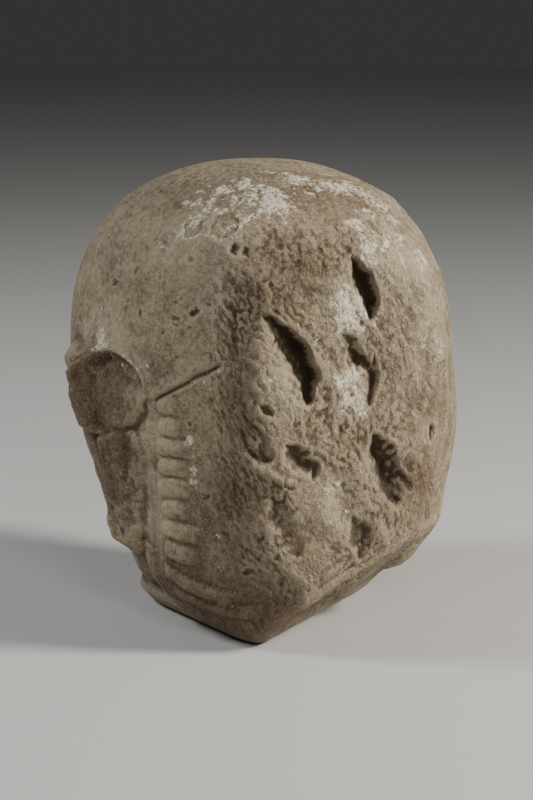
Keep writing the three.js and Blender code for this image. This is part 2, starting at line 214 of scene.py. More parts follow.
ear = {  # a leaf lying back against the head, hollowed under its upper edge, its lower front corner proud
    "bearing": 99.4, "height": 131, "long": 33, "tall": 21.5, "lean": 5,
    "lobe": {"bearing": 109, "height": 115.5, "long": 16, "tall": 13},
    "blend": 10,
    "frontLift": (4.6, 0.2), "frontHeights": (124, 142), "rearLift": 10.5, "rearReach": (4, 30),
    "lobeLift": 0.72, "lobeHeights": (94, 118), "bulge": (0.62, 9),
    "edge": 2, "rim": 0.3, "rimSlope": (2.4, 19),
    "wellDepth": 6.2, "wellBearings": (97, 112), "wellHeights": (131, 148), "wellUneven": 0.25,
    "crease": 0.9, "creaseHalf": 1.3, "creaseOut": 0.5,
    "creaseBearings": (98, 90), "creaseHeights": (134, 124),
    "hood": 0.9, "hoodHalf": 3.2, "hoodOut": 1.6, "hoodHeights": (138, 150),  # over its top edge
    "crustHalf": 1.4, "crustOut": 0.3,
    "knob": {"bearing": 120, "height": 142, "long": 12.5, "tall": 13}, "knobLift": 8.6, "knobSlope": 8.5,
    "uneven": (9, 1),
}


def earLeaf(u, z):  # negative inside the ear's outline
    return smoothMin(ovalDistance(u, z, ear), ovalDistance(u, z, ear["lobe"]), ear["blend"])


def earRelief(u, z, bearing, uneven):
    leaf = earLeaf(u, z) + uneven
    centre = strip((ear["bearing"], ear["height"]))[0]
    rear = between(u, (centre + ear["rearReach"][0], centre + ear["rearReach"][1]))
    lift = mix(mix(*ear["frontLift"], between(z, ear["frontHeights"])), ear["rearLift"], rear)
    lift = lift * mix(ear["lobeLift"], 1, between(z, ear["lobeHeights"]))
    lift = lift * mix(mix(ear["bulge"][0], 1, ramp(-leaf / ear["bulge"][1])), 1, rear)
    well = (1 - between(bearing, ear["wellBearings"])) * (1 - between(z, ear["wellHeights"]))
    well = ear["wellDepth"] * (1 - well)
    hollow = ramp((-leaf - ear["rim"]) / mix(*ear["rimSlope"], rear)) * well
    hollow = hollow * (1 + ear["wellUneven"] * uneven)
    knob = ear["knobLift"] * ramp(-ovalDistance(u, z, ear["knob"]) / ear["knobSlope"])
    front = between(bearing, ear["creaseBearings"]) * between(z, ear["creaseHeights"])
    crease = ear["crease"] * furrow(leaf - ear["creaseOut"], ear["creaseHalf"]) * front
    hood = ear["hood"] * furrow(leaf - ear["hoodOut"], ear["hoodHalf"]) * between(z, ear["hoodHeights"])
    return lift * ramp(-leaf / ear["edge"]) + knob + hood, hollow + crease


hair = {  # the thick lock under the ear, the edge of the hair behind it, the hollow under both
    "lock": [(97, 98), (104, 58)], "lockHalf": 24, "lockSlope": 5.6, "lockLift": (5.6, 4.8), "lockClear": 2.4,
    "lockFront": 2, "lockRise": (84, 101), "underEar": 0.5,
    "recess": [(91.5, 107), (95.5, 84)], "recessHalf": (5.4, 3), "recessDepth": 2.4,
    "edge": [(118.5, 114), (118, 90), (114, 54)], "edgeHalf": 11, "edgeSlope": 5, "edgeLift": 4.4,
    "under": {"heights": (48, 38), "foot": (7, 14), "bearings": (90, 101), "rear": (158, 138), "depth": 6.8},
}


def hairRelief(u, z, bearing):
    top, end = hair["lock"][0][1], hair["lock"][1][1]
    lift = mix(*hair["lockLift"], between(z, (end, top)))
    lift = mix(hair["lockFront"], lift, between(bearing, hair["lockRise"]))
    lock = lift * ramp((hair["lockHalf"] - pathDistance(u, z, hair["lock"])) / hair["lockSlope"])
    lock = lock * mix(hair["underEar"], 1, ramp(earLeaf(u, z) / hair["lockClear"] + 1))
    recess = hair["recess"]
    half = mix(*hair["recessHalf"], between(z, (recess[0][1], recess[1][1])))
    recess = hair["recessDepth"] * furrow(pathDistance(u, z, recess), half)
    reach = (hair["edgeHalf"] - pathDistance(u, z, hair["edge"])) / hair["edgeSlope"]
    under = hair["under"]
    hollow = between(z, under["heights"]) * between(z, under["foot"])
    hollow = hollow * between(bearing, under["bearings"]) * between(bearing, under["rear"])
    return np.maximum(lock, hair["edgeLift"] * ramp(reach)), recess + under["depth"] * hollow


beard = {  # a plain channel, a ladder of ribs in front of it, two long folds along the jaw
    "channel": [(78.8, 113), (81, 86), (83, 62), (84.2, 38), (88, 20)],
    "channelHalf": 5.5, "channelSlope": 4, "channelDepth": 0.6, "chipped": (5.5, 0.3),
    "ribs": {"count": 8, "top": 129.5, "pitch": (10.9, 12.1), "half": (4.9, 5.5), "lift": (3.3, 3.7),
             "drop": (-0.15, 0.08), "level": 70,
             "rear": (76, 79), "rearHeights": (125, 80), "roundEnd": 4,
             "front": (64.5, 60.5), "frontEase": 6, "frontLift": 0.45, "rearShift": 0.4,
             "shift": (0, 1.2, -1.5, 0.8, -0.6, 1.4, -1, 0.4),
             "share": (0.7, 0.9, 1, 0.85, 1.05, 1.1, 1, 0.85)},
    "folds": [
        {"rear": (79, 36.5), "front": (47, 29.5), "sag": 2.2, "half": 5.2, "lift": 3.3},
        {"rear": (76, 25.5), "front": (40, 22.5), "sag": 2.4, "half": 4.6, "lift": 2.9},
    ],
    "foldEnds": (2, 4, 8),  # how far past its rear end a fold goes, and how slowly it ends there and in front
}


def beardRelief(u, z, bearing):
    reach = (beard["channelHalf"] - pathDistance(u, z, beard["channel"])) / beard["channelSlope"]
    relief = -beard["channelDepth"] * ramp(reach)
    ribs = beard["ribs"]
    rear = mix(*ribs["rear"], between(z, ribs["rearHeights"]))
    height = ribs["top"]
    for i in range(ribs["count"]):
        t = i / (ribs["count"] - 1)
        off = z - height - mix(*ribs["drop"], t) * (bearing - ribs["level"])
        front = mix(*ribs["front"], t) + ribs["shift"][i]
        lift = mix(*ribs["lift"], t) * ribs["share"][i]
        lift = lift * mix(ribs["frontLift"], 1, between(bearing, (front, rear)))
        pastEnd = clamp01((bearing - rear + ribs["shift"][i] * ribs["rearShift"]) / ribs["roundEnd"] + 1)
        rib = dome(np.hypot(off / mix(*ribs["half"], t), pastEnd), 1)
        relief += ramp((bearing - front) / ribs["frontEase"]) * lift * rib
        height -= mix(*ribs["pitch"], t)
    past, rearEase, frontEase = beard["foldEnds"]
    for fold in beard["folds"]:
        rearward, forward = fold["rear"], fold["front"]
        t = clamp01((rearward[0] - bearing) / (rearward[0] - forward[0]))
        line = mix(rearward[1], forward[1], t) - fold["sag"] * 4 * t * (1 - t)
        ends = ramp((rearward[0] + past - bearing) / rearEase) * ramp((bearing - forward[0]) / frontEase)
        relief += fold["lift"] * ends * dome(z - line, fold["half"])
    return relief


capLine = {  # the cut line from the ear over the cheek, the skull slightly proud above it
    "path": [(54.2, 153.8), (64.3, 142.8), (76, 131)], "half": 1.0, "depth": 1.4,
    "lip": 1.5, "lipSlope": 2.2, "lipReach": 16, "lipFade": 14, "lipEnds": (6, 5),
}


def capLineRelief(u, z, bearing):
    bearings = [spot[0] for spot in capLine["path"]]
    line = np.interp(bearing, bearings, [spot[1] for spot in capLine["path"]])
    lip = ramp((z - line) / capLine["lipSlope"]) * ramp((line + capLine["lipReach"] - z) / capLine["lipFade"])
    lip = lip * ramp((bearing - bearings[0]) / capLine["lipEnds"][0])
    lip = lip * ramp((bearings[-1] - bearing) / capLine["lipEnds"][1] + 1)
    cut = furrow(pathDistance(u, z, capLine["path"]), capLine["half"])
    return capLine["lip"] * lip - capLine["depth"] * cut


blows = {  # bearing, height, half length, half width, depth, lean, skew, burr
    "great": (33.8, 154.5, 26, 13.5, 14, 25, 0.8, 1.6),
    "brow": (10.4, 189.5, 17.5, 10.5, 12.5, 15, 0.85, 0.8),
    "browSpill": (14, 179, 13, 10, 2.6, 20, 0.2, 0),
    "middle": (14.2, 157, 10.5, 8.5, 3.2, 24, 0.4, 0),
    "middleSlope": (11.5, 145, 15, 10, 4.6, 18, 0.8, 1),
    "crevice": (6.6, 146, 11, 2.8, 1.8, 2, 0.2, 0),
    "lower": (4.8, 96, 21, 13.5, 8.5, 16, 0.1, 2),
    "lowerPit": (-1.5, 88, 7, 6, 2.6, 30, 0.2, 0.6),
    "lowerNotch": (-3, 96, 5, 7, 1.8, 60, 0, 0),
    "cheekHollow": (35, 70, 19, 13, 2.2, 24, 0, 0.8),
    "chinHollow": (13.5, 62, 13, 8, 2.6, 14, 0, 0.6),
    "cheekPit": (31.5, 105.5, 10, 9, 4, 42, 0, 0),
    "cheekPit2": (27.5, 100, 6, 5, 2.4, 10, 0.2, 0),
    "crack": (42, 108, 8, 7, 2.2, 60, -0.3, 0.5),
    "nick": (40, 131, 5, 4, 3, 38, 0.1, 0),
    "farPit": (-10.8, 112.5, 5, 3.6, 3.2, 20, 0, 0),
    "temple": (50, 172, 30, 22, 2.2, 12, 0, 0),
    "farScar": (-6, 158, 26, 12, 1.2, 22, 0.2, 0),
}

blowForm = {  # distances across a blow are in its half widths
    "slopeIn": 2.1,  # how late its long wall falls away
    "narrow": 0.75, "shallow": 0.6,  # how fast its ends grow narrow and shallow
    "burr": (1.15, 0.45),  # how far out the burr stands, and its half width
    "dirtAndShade": {"long": 0.34, "longFrom": (-0.65, -0.15),  # painted shade on the walls: its share on the long wall, and where it lies there
             "steep": 0.5, "stop": (1.06, 0.96), "deep": 6, "ends": 0.3},
}

crests = {  # what the blows left standing or sunken: bearing, height, half length, half width, lift, lean
    "middleStump": (22, 147, 27, 8, 2.6, 27),
    "crownSwell": (-46, 216, 42, 46, 3, 0),
    "crownTop": (-92, 238, 60, 54, 1.7, 0),
    "farSwell": (-42, 104, 60, 36, 6, 0),
    "lowSwell": (-30, 34, 22, 18, 4.5, 0),
    "farHollow": (-9.5, 118, 46, 28, -1.4, 0),
    "ledge": (38, 97.5, 19, 4.6, 2.2, 66),
    "cheekLedge": (23.5, 77, 20, 12, 3.4, 14),
    "brokenShelf": (19, 105, 22, 14, 2.4, 24),
    "cheekSwell": (38, 118, 24, 13, 1.8, 26),
    "chinLedge": (6, 63, 13, 9, 2.4, 30),
}

scars = {  # shallow flakes where a skin has scaled off, and pits
    # bearing, height, radius, depth
    "flakes": [(69.9, 218.9, 6.8, 0.5), (79.9, 214.1, 5.5, 0.4), (56, 221, 8.5, 0.5)],
    "flakeSlope": 1.4, "ringOut": 0.4, "ringHalf": 1.2, "ringCrust": 0.8,  # crust gathers round a flake
    "pits": [
        (50.3, 210.8, 3, 1.9), (46.3, 210.2, 2.4, 1.6), (90.7, 195.6, 2.4, 1.1), (117.5, 142.5, 2.6, 1.2),
        (68.5, 175.2, 3, 1.4), (62, 179, 2.8, 1.5), (58, 184, 2, 1), (74, 168, 2.2, 0.9),
        (100, 188, 2.4, 0.9), (66, 203, 2, 0.8), (84, 176, 2, 0.8), (61, 150, 2.2, 0.9),
        (68, 156, 1.8, 0.8), (-18, 140, 3, 1.6), (-20, 186, 2.6, 1.2), (2, 214, 2.6, 1.2),
        (60, 84, 2.6, 1), (52, 64, 2.8, 1.2), (46, 46, 2.4, 1),
    ],
    "pitEdge": 1.2, "ragged": (3.2, 0.45),  # in a pit's radius
}


def placeMark(bearing, height, lean):  # a spot on the block, the way across and along a mark there
    at = spotOnBlock(bearing, height)
    out = outwardFrom(at)[0]
    across = np.cross((0, 0, 1), out)
    across = across / np.linalg.norm(across)
    up = np.cross(out, across)
    a = math.radians(lean)
    return at[0], across * math.cos(a) + up * math.sin(a), up * math.cos(a) - across * math.sin(a)


def aroundMark(p, bearing, height, half, lean):  # how far across, how far along in half lengths, what is near
    at, side, axis = placeMark(bearing, height, lean)
    d = p - at
    return d @ side, d @ axis / half, np.linalg.norm(d, axis=1) < 2 * half


def crestRelief(p, crest):
    bearing, height, half, wide, lift, lean = crest
    x, t, near = aroundMark(p, bearing, height, half, lean)
    return np.where(near, lift * ramp(1 - np.hypot(x / wide, t)), 0)


def scarRelief(p):  # depth of the scars, and nearness to a flake's edge
    sunk = np.zeros(len(p))
    rings = np.zeros(len(p))
    for bearing, height, radius, depth in scars["flakes"]:
        d = fromSpot(p, bearing, height)
        sunk += depth * ramp((radius - d) / scars["flakeSlope"])
        rings = np.maximum(rings, furrow(d - radius - scars["ringOut"], scars["ringHalf"]))
    ragged = lumpy(p, scars["ragged"], seed=221)
    for bearing, height, radius, depth in scars["pits"]:
        sunk += depth * ramp(scars["pitEdge"] - fromSpot(p, bearing, height) / radius + ragged)
    return sunk, rings


def blowRelief(p, blow):  # a blow's raised burr, its depth, and where painted shade lies on its walls
    bearing, height, half, wide, depth, lean, skew, burr = blow
    x, t, near = aroundMark(p, bearing, height, half, lean)
    end = clamp01(1 - t * t)
    s = x / (wide * np.maximum(end, 0.02) ** blowForm["narrow"])  # the ends never close
    wall = np.where(s < skew, between(s, (-1, skew)) ** blowForm["slopeIn"], between(s, (1, skew)))
    burrOut, burrHalf = blowForm["burr"]
    raised = burr * end ** 2 * furrow(x + wide * burrOut, wide * burrHalf)
    dirtAndShade = blowForm["dirtAndShade"]
    steep = np.maximum(dirtAndShade["long"] * between(s, dirtAndShade["longFrom"]), between(s, (skew - dirtAndShade["steep"], skew)))
    steep = clamp01(depth / dirtAndShade["deep"]) * end ** dirtAndShade["ends"] * steep * between(s, dirtAndShade["stop"])
    sunk = depth * end ** blowForm["shallow"] * wall
    return [np.where(near, part, 0) for part in (raised, sunk, steep)]


weather = {  # sizes and heights in millimetres
    "wander": ((13, 1.1), (5, 0.45)),  # lump size and how far it shifts the carving
    "markWander": ((16, 1.3), (7, 1), (3.2, 0.9)),  # the same for the blows and scars
    "wear": (17, 0.2),  # how unevenly the carving has worn down
    "farCarving": (62, 70),  # bearings over which the left side's carving begins
    "roughZone": {"heights": (26, 99, 188, 226), "edge": (52, 60, 60, 45), "fade": 14, "left": (-72, -58),
                  "top": (226, 217), "step": 0.9, "ragged": (20, 8), "raggedEdge": 0.6},
    "cheek": {"foot": (20, 36), "top": (142, 118), "bearings": (60, 50), "share": 0.55, "ragged": 0.5},
    "smoothBreak": {"bearing": 6, "fall": 27, "within": (0.955, 0.98), "share": 0.92},  # within: cosines
    "under": {"from": 0.35, "over": 0.3, "share": 0.4},  # the undersides
    "leanStroke": (20, 116, 28),  # where the tool's stroke is set out, and its lean
    "strokeBend": ((46, 9), (21, 2.5)),
    # size, stretch, height
    "strokes": ((9, 1.4, 0.34), (4.6, 1.7, 0.44), (2.5, 1.9, 0.56), (1.5, 1.8, 0.42)),
    "calm": ((14, -8), 0.3, 20),  # bearings over which the strokes die down, to what share, and patch size
    "force": {"usual": 0.75, "varied": 0.8, "harder": 0.2, "harderFrom": (38, 46), "mark": 0.2},
    "facet": {"size": 15, "tilt": 1.7, "level": 0.45, "step": 0.6, "stretch": 1.5, "calmed": 0.25},
    "lumps": (22, 1.1),
    "crumble": {"front": (80, 88), "rear": (132, 122), "foot": (38, 50), "top": (156, 146), "farShare": 0.3,
                "size": 9, "height": 0.9, "sunk": 0.2},
    "swell": (38, 0.7),
    "pock": {"size": 9, "share": -0.45, "depth": 0.7, "radius": 0.15, "varied": 0.6, "usual": 0.6},
    "grain": ((2.4, 0.11), (1.3, 0.05)), "grainOnBreak": 0.5,
}


def wander(p, seed, kind="wander"):
    shift = np.zeros(len(p))
    for n, (size, far) in enumerate(weather[kind]):
        shift += far * softNoise(p, size, seed + n)
    return shift


def shiftOf(p, seeds, kind):  # in all three directions
    return np.stack([wander(p, seed, kind) for seed in seeds], axis=1)


def facetNoise(p, spec, seed):  # flat facets with low steps between them
    near, after, offset, values = cellNoise(p, spec["size"], seed)
    soft = ramp((after - near) / spec["step"])
    tilt = (offset * values[:, :3]).sum(axis=1)
    return (spec["tilt"] * tilt + spec["level"] * values[:, 3]) * soft


def stretched(strokeFrame, stretch):
    return strokeFrame / np.array((1.0, stretch, 1.0))


def carve(p, bearing, z):  # all carving, the bearing along it, and the line of crust over the ear
    # its lines wander a little and its height has worn unevenly
    u = np.radians(np.abs(bearing)) * headBlock["stripRadius"] + wander(p, seed=3)
    zed = z + wander(p, seed=11)
    side = np.degrees(u / headBlock["stripRadius"])
    earLift, earHollow = earRelief(u, zed, side, lumpy(p, ear["uneven"], seed=181))
    hairLift, hairHollow = hairRelief(u, zed, side)
    carved = np.maximum(earLift, hairLift) - earHollow - hairHollow
    carved = carved + beardRelief(u, zed, side) * (1 + lumpy(p, beard["chipped"], seed=211))
    carved = carved + capLineRelief(u, zed, side)
    wearSize, wear = weather["wear"]
    worn = 1 - wear * (1 + softNoise(p, wearSize, seed=23))
    carved = carved * worn * np.where(bearing < 0, between(-bearing, weather["farCarving"]), 1)
    overEar = furrow(earLeaf(u, zed) - ear["crustOut"], ear["crustHalf"]) * between(zed, ear["hoodHeights"])
    return carved, side, overEar * (bearing > 0)


def breakFront(p, bearing, z):  # how far the front is broken, from 0 to 1, and its ragged edge
    zone = weather["roughZone"]
    ragged = lumpy(p, zone["ragged"], seed=31, layers=3)
    edge = np.interp(z, zone["heights"], zone["edge"]) + ragged * zone["raggedEdge"]
    rough = ramp((edge - bearing) / zone["fade"]) * between(bearing, zone["left"])
    return rough * between(z + ragged, zone["top"]), ragged


def breakAll(n, bearing, z, side, rough, ragged):  # with the cheek, the undersides and the smooth break
    cheek = weather["cheek"]
    worked = between(side + ragged * cheek["ragged"], cheek["bearings"]) * between(z, cheek["foot"])
    worked = worked * between(z, cheek["top"]) * cheek["share"] * (bearing > 0)
    under = weather["under"]
    under = ramp((-n[:, 2] - under["from"]) / under["over"]) * under["share"]
    smooth = weather["smoothBreak"]
    smoothed = smooth["share"] * between(n @ facing(smooth["bearing"], smooth["fall"]), smooth["within"])
    return clamp01(np.maximum(np.maximum(rough, worked), under)) * (1 - smoothed)


def strokeRelief(p, moved, bearing):  # facets and lumps, scooped and scratched along the stroke of the tool
    _, across, along = placeMark(*weather["leanStroke"])
    bent = moved + shiftOf(p, (241, 251, 261), "strokeBend")
    stroke = np.stack([bent @ across, bent @ along, bent @ np.cross(across, along)], axis=1)
    calmed, calmShare, patch = weather["calm"]
    calm = mix(1, calmShare, between(bearing, calmed))
    spec = weather["force"]
    force = calm * clamp01(spec["usual"] + spec["varied"] * layeredNoise(p, patch, seed=95, layers=2))
    force = force * (1 + spec["harder"] * between(bearing, spec["harderFrom"]))
    facet = weather["facet"]
    cut = facetNoise(stretched(stroke, facet["stretch"]), facet, seed=71) * mix(facet["calmed"], 1, calm)
    cut = cut + lumpy(p, weather["lumps"], seed=83)
    for i, (size, stretch, height) in enumerate(weather["strokes"]):
        cut = cut + height * force * softNoise(stretched(stroke, stretch), size, seed=111 + i)
    return cut, force


def crumbleEar(h, p, bearing, z, side):  # the ear and the lock are crumbled more than the skull
    spec = weather["crumble"]
    crumbled = between(side, spec["front"]) * between(side, spec["rear"])
    crumbled = crumbled * between(z, spec["foot"]) * between(z, spec["top"])
    crumbled = crumbled * np.where(bearing < 0, spec["farShare"], 1)
    return h + crumbled * spec["height"] * (layeredNoise(p, spec["size"], seed=171) - spec["sunk"])


def wearSkin(h, p, skin):  # the worn skin: sparse pocks, a slow swell, a fine grain
    pock = weather["pock"]
    near, _, _, values = cellNoise(p, pock["size"], seed=131)
    radius = pock["radius"] * (1 + pock["varied"] * values[:, 1])
    holes = pock["depth"] * ramp(1 - near / radius) * (values[:, 0] < pock["share"])
    h = h - skin * holes * clamp01(pock["usual"] + values[:, 2])
    swellSize, swell = weather["swell"]
    h = h - swell * (0.5 + 0.5 * layeredNoise(p, swellSize, seed=141, layers=2))
    return h + mix(weather["grainOnBreak"], 1, skin) * wander(p, seed=151, kind="grain")


def shapeHead(directions):  # where rays from the heart meet it, and marks for its colouring, painted shade among them
    p = leaveBlock(heart, directions)
    n = outwardFrom(p)
    bearing = np.degrees(np.arctan2(-p[:, 0], -p[:, 1]))
    z = p[:, 2]
    carved, side, overEar = carve(p, bearing, z)
    rough, ragged = breakFront(p, bearing, z)
    h = carved - weather["roughZone"]["step"] * rough
    for crest in crests.values():
        h = h + crestRelief(p, crest)
    moved = p + shiftOf(p, (41, 51, 61), "markWander")
    shade = np.zeros(len(p))
    for blow in blows.values():
        burr, depth, steep = blowRelief(moved, blow)
        h = h + burr - depth
        shade = np.maximum(shade, steep)
    broken = breakAll(n, bearing, z, side, rough, ragged)
    cut, force = strokeRelief(p, moved, bearing)
    h = h + broken * cut
    sunk, rings = scarRelief(moved)
    h = crumbleEar(h - sunk, p, bearing, z, side)
    h = wearSkin(h, p, 1 - broken) * between(z, headBlock["seatClear"])
    rough = broken * mix(weather["force"]["mark"], 1, force)
    return p + n * h[:, None], {"rough": rough, "shade": shade, "rings": np.maximum(rings, overEar)}


# a ball of quads, crowded toward the carved side

ballSpec = {"divisions": 128, "crowdBearing": 38, "crowdFall": 8, "crowd": 0.36}


def cubeBall(divisions):
    line = np.tan(np.linspace(-math.pi / 4, math.pi / 4, divisions + 1))
    a, b = np.meshgrid(line, line, indexing="ij")
    one = np.ones_like(a)
    sides = [(a, b, one), (b, a, -one), (one, a, b), (-one, b, a), (b, one, a), (a, -one, b)]
    points = unit(np.concatenate([np.stack(side, axis=-1).reshape(-1, 3) for side in sides]))
    keys = np.round(points * 1e6).astype(np.int64)
    _, first, same = np.unique(keys, axis=0, return_index=True, return_inverse=True)
    grid = np.arange((divisions + 1) ** 2).reshape(divisions + 1, divisions + 1)
    quads = np.stack([grid[:-1, :-1], grid[1:, :-1], grid[1:, 1:], grid[:-1, 1:]], axis=-1).reshape(-1, 4)
    allQuads = np.concatenate([quads + i * grid.size for i in range(6)])
    return points[first], same.reshape(-1)[allQuads]


rays, quads = cubeBall(ballSpec["divisions"])
rays = rays + ballSpec["crowd"] * facing(ballSpec["crowdBearing"], ballSpec["crowdFall"])
points, marks = shapeHead(unit(rays))
print("head shaped,", len(points), "points,", 2 * len(quads), "triangles")


hollows = {  # how hollows are told from edges
    "keep": 0.4,  # how much of its own place a point keeps in a round of smoothing
    "fine": (3, 0.36), "broad": (40, 5),  # rounds, and millimetres from sharpest edge to deepest hollow
}


def addUp(owners, rows):  # the sum of the rows that each point owns
    return np.stack([np.bincount(owners, column, len(points)) for column in rows.T], axis=1)


def smoothOver(values, rounds):
    share = np.bincount(edges.ravel())[:, None]
    for _ in range(rounds):
        total = addUp(edges[:, 0], values[edges[:, 1]]) + addUp(edges[:, 1], values[edges[:, 0]])
        values = values * hollows["keep"] + total / share * (1 - hollows["keep"])
    return values


def pointNormals(p, faces):
    across = np.cross(p[faces[:, 2]] - p[faces[:, 0]], p[faces[:, 3]] - p[faces[:, 1]])
    return unit(sum(addUp(corners, across) for corners in faces.T))


def hollowAt(kind):  # 0 on the sharpest edges, 1 in the deepest hollows
    rounds, span = hollows[kind]
    sunk = ((smoothOver(points, rounds) - points) * normals).sum(axis=1)
    print(kind, "hollows measured")
    return 0.5 + sunk / span


edges = np.concatenate([quads[:, (i, (i + 1) % 4)] for i in range(4)])
normals = pointNormals(points, quads)
if (normals * (points - heart)).sum() < 0:
    quads = quads[:, ::-1]
    normals = -normals
fineHollow, broadHollow = hollowAt("fine"), hollowAt("broad")


def spotsAlong(first, last, count, size, strength):  # one colour mark in an even row of spots
    steps = [i / (count - 1) for i in range(count)]
    return [(mix(first[0], last[0], t), mix(first[1], last[1], t), size, strength) for t in steps]


stainsAndPaintedLight = {  # bearing, height, size, strength: where each colour mark lies on the stone, painted shade and highlights among them
    "crust": [
        *spotsAlong((63.6, 119), (62.6, 90), 5, 3.3, 0.8),  # a run down the front ends of the ribs
        *spotsAlong((16, 240), (-14, 234), 3, 13.5, 0.95), (-14, 227, 10, 0.95), (30, 232, 14, 0.5),  # crown
        (62, 236, 10, 0.75), (56, 240, 12, 0.8), (44, 234, 12, 0.85), (80, 228, 8, 0.5), (72, 232, 12, 0.55),
        (38, 228, 12, 0.6), (68, 222, 8, 0.7), (50, 224, 10, 0.7), (58, 214, 9, 0.6), (150, 225, 30, 0.5),
        (-120, 232, 34, 0.5), (-70, 210, 26, 0.35), (170, 120, 26, 0.3),
        (15, 185, 9, 1), (11, 177, 9, 1), (16, 177, 8, 0.9), (15, 192, 5, 0.7),  # between the great blows
        (14, 146, 6, 0.6), (15, 139, 8, 0.9), (11, 131, 8, 0.9), (22, 86, 9, 0.5), (19, 73, 9, 0.5),
        (29, 31, 11, 0.6), (3, 209, 10, 0.8), (8, 217, 9, 0.65), (4, 226, 9, 0.6),
        (-7, 213, 11, 0.7), (-10, 222, 8, 0.55), (-12, 203, 14, 0.55),  # the far side of the brow
        (-8, 168, 12, 0.65), (-14, 150, 9, 0.55), (38, 141, 6, 0.6), (43, 153, 5, 0.45),
        *spotsAlong((94, 156), (113, 158), 3, 11, 0.4),  # over the ear
    ],
    "brown": [
        (104, 140, 20, 1), (96, 128, 17, 0.95), (112, 120, 19, 1),  # ear, a brown stain that is partly painted shade in its hollow
        (93, 98, 10, 0.9), (104, 84, 26, 0.85), (84, 30, 16, 0.5), (110, 118, 16, 0.6),  # lock
        (49, 17, 26, 0.9), (71, 21, 24, 0.7), (60, 45, 26, 0.55),  # jaw and chin, a brown stain that is partly painted shade under the head
        (33, 19, 22, 0.6), (45, 24, 18, 0.8),
        (56, 72, 20, 0.55), (48, 80, 16, 0.5), (47, 98, 14, 0.4), (10, 60, 16, 0.3), (12, 22, 18, 0.5),
        *spotsAlong((47, 158), (47, 122), 3, 14.5, 0.48), (47, 187, 12, 0.3),  # beside the break
        (89, 188, 18, 0.45),
        (31, 198, 18, 0.55), (24, 206, 14, 0.4), (36, 182, 12, 0.5), (42, 206, 12, 0.5),
        (-7, 83, 20, 0.85), (-14, 128, 20, 0.55),
        (50, 238, 26, 0.6), (14, 236, 26, 0.65), (-10, 230, 22, 0.6), (90, 236, 24, 0.5),  # crown
        (-60, 30, 34, 0.5), (180, 60, 44, 0.45), (-140, 150, 34, 0.35),
    ],
    "greyGreen": [
        (57, 205, 12, 0.8), (57, 188, 12, 0.95), (50, 168, 11, 0.7), (33, 195, 12, 0.35), (12, 209, 16, 0.4),
        (39, 59, 16, 0.7), (57, 38, 12, 0.5), (45, 100, 10, 0.4), (84, 80, 11, 0.5), (86, 60, 10, 0.5),
        (30, 244, 26, 0.6), (80, 240, 24, 0.5), (52, 236, 14, 0.5), (-150, 190, 36, 0.5), (140, 60, 30, 0.4),
        (-100, 90, 30, 0.35),
    ],
    # pale powder, a paler channel, and painted highlights and sheen
    "pale": [
        *spotsAlong((96, 157), (112, 157), 3, 11, 1), (104, 163, 18, 0.7),  # over the ear, a painted highlight
        # (75, 208) is a painted sheen on the skull
        (84, 166, 14, 0.4), (75, 208, 22, 0.6),
        # the channel is paler; the row from (71, 116) to (75, 62) is a painted highlight along the ribs' rear
        # ends
        *[(*spot, 11, 1) for spot in beard["channel"][:3]], *spotsAlong((71, 116), (75, 62), 4, 9, 0.8),
        # the great blow's lit slope: partly pale powder, partly painted highlight
        (43, 168, 8, 0.9), (44, 157, 9, 1), (41, 145, 9, 1), (37, 138, 12, 1), (32, 133, 7, 0.9),
        (15, 182, 15, 0.95), (14, 142, 9, 1), (11, 132, 8, 1), (21, 140, 10, 0.5),
        (23, 88, 12, 0.9), (19, 73, 9, 0.8), (30, 75, 8, 0.6), (-8, 205, 26, 0.6), (-12, 165, 26, 0.5),
        (150, 160, 34, 0.4),
    ],
    "granular": [
        (100, 132, 26, 0.9), (106, 112, 20, 0.9), (100, 88, 18, 0.8), (102, 66, 18, 0.7), (70, 96, 20, 0.5),
        (15, 183, 10, 0.9), (14, 140, 9, 0.6), (58, 96, 26, 0.6), (50, 60, 26, 0.6), (-100, 120, 36, 0.5),
    ],
}


def gather(spots):  # one colour mark's share at each point
    left = np.ones(len(points))
    for bearing, height, size, strength in spots:
        left *= 1 - strength * np.exp(-((fromSpot(points, bearing, height) / size) ** 2))
    return 1 - left


def addMarks(mesh, name, columns):  # three values at each point, for the stone to read
    layer = mesh.color_attributes.new(name, "FLOAT_COLOR", "POINT")
    rows = clamp01(np.stack([*columns, np.ones(len(points))], axis=1))
    layer.data.foreach_set("color", rows.astype(np.float32).ravel())


def placeObject(name, data):
    made = bpy.data.objects.new(name, data)
    bpy.context.scene.collection.objects.link(made)
    return made


low, high = [np.array(corner) * 1000 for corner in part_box("statue_head")]
placed = points - np.array((*headBlock["middle"], 0.0))
under, over = np.maximum(low - placed.min(axis=0), 0), np.maximum(placed.max(axis=0) - high, 0)
print("outside the solid's box by", under, over)
placed = np.clip(placed, low, high)
headMesh = bpy.data.meshes.new("statueHead")
headMesh.from_pydata((placed / 1000).tolist(), [], quads.tolist())
headMesh.polygons.foreach_set("use_smooth", np.ones(len(quads), dtype=bool))
# the rough share also places painted shade and highlight along the strokes; the hollows place dirt and
# painted shade, and the pale worn edges
addMarks(headMesh, "wear", (marks["rough"], fineHollow, broadHollow))
crusted = np.maximum(gather(stainsAndPaintedLight["crust"]), scars["ringCrust"] * marks["rings"])
addMarks(headMesh, "stainsAndPaintedLight", (crusted, gather(stainsAndPaintedLight["brown"]), gather(stainsAndPaintedLight["greyGreen"])))
# painted shade on the blows' walls, pale powder with painted highlights, and crumbled patches
addMarks(headMesh, "shadePaleAndCrumb", (marks["shade"], gather(stainsAndPaintedLight["pale"]), gather(stainsAndPaintedLight["granular"])))
headMesh.update()
statueHead = placeObject("statueHead", headMesh)
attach(statueHead, "root")
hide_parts("statue_head")
print("head made")


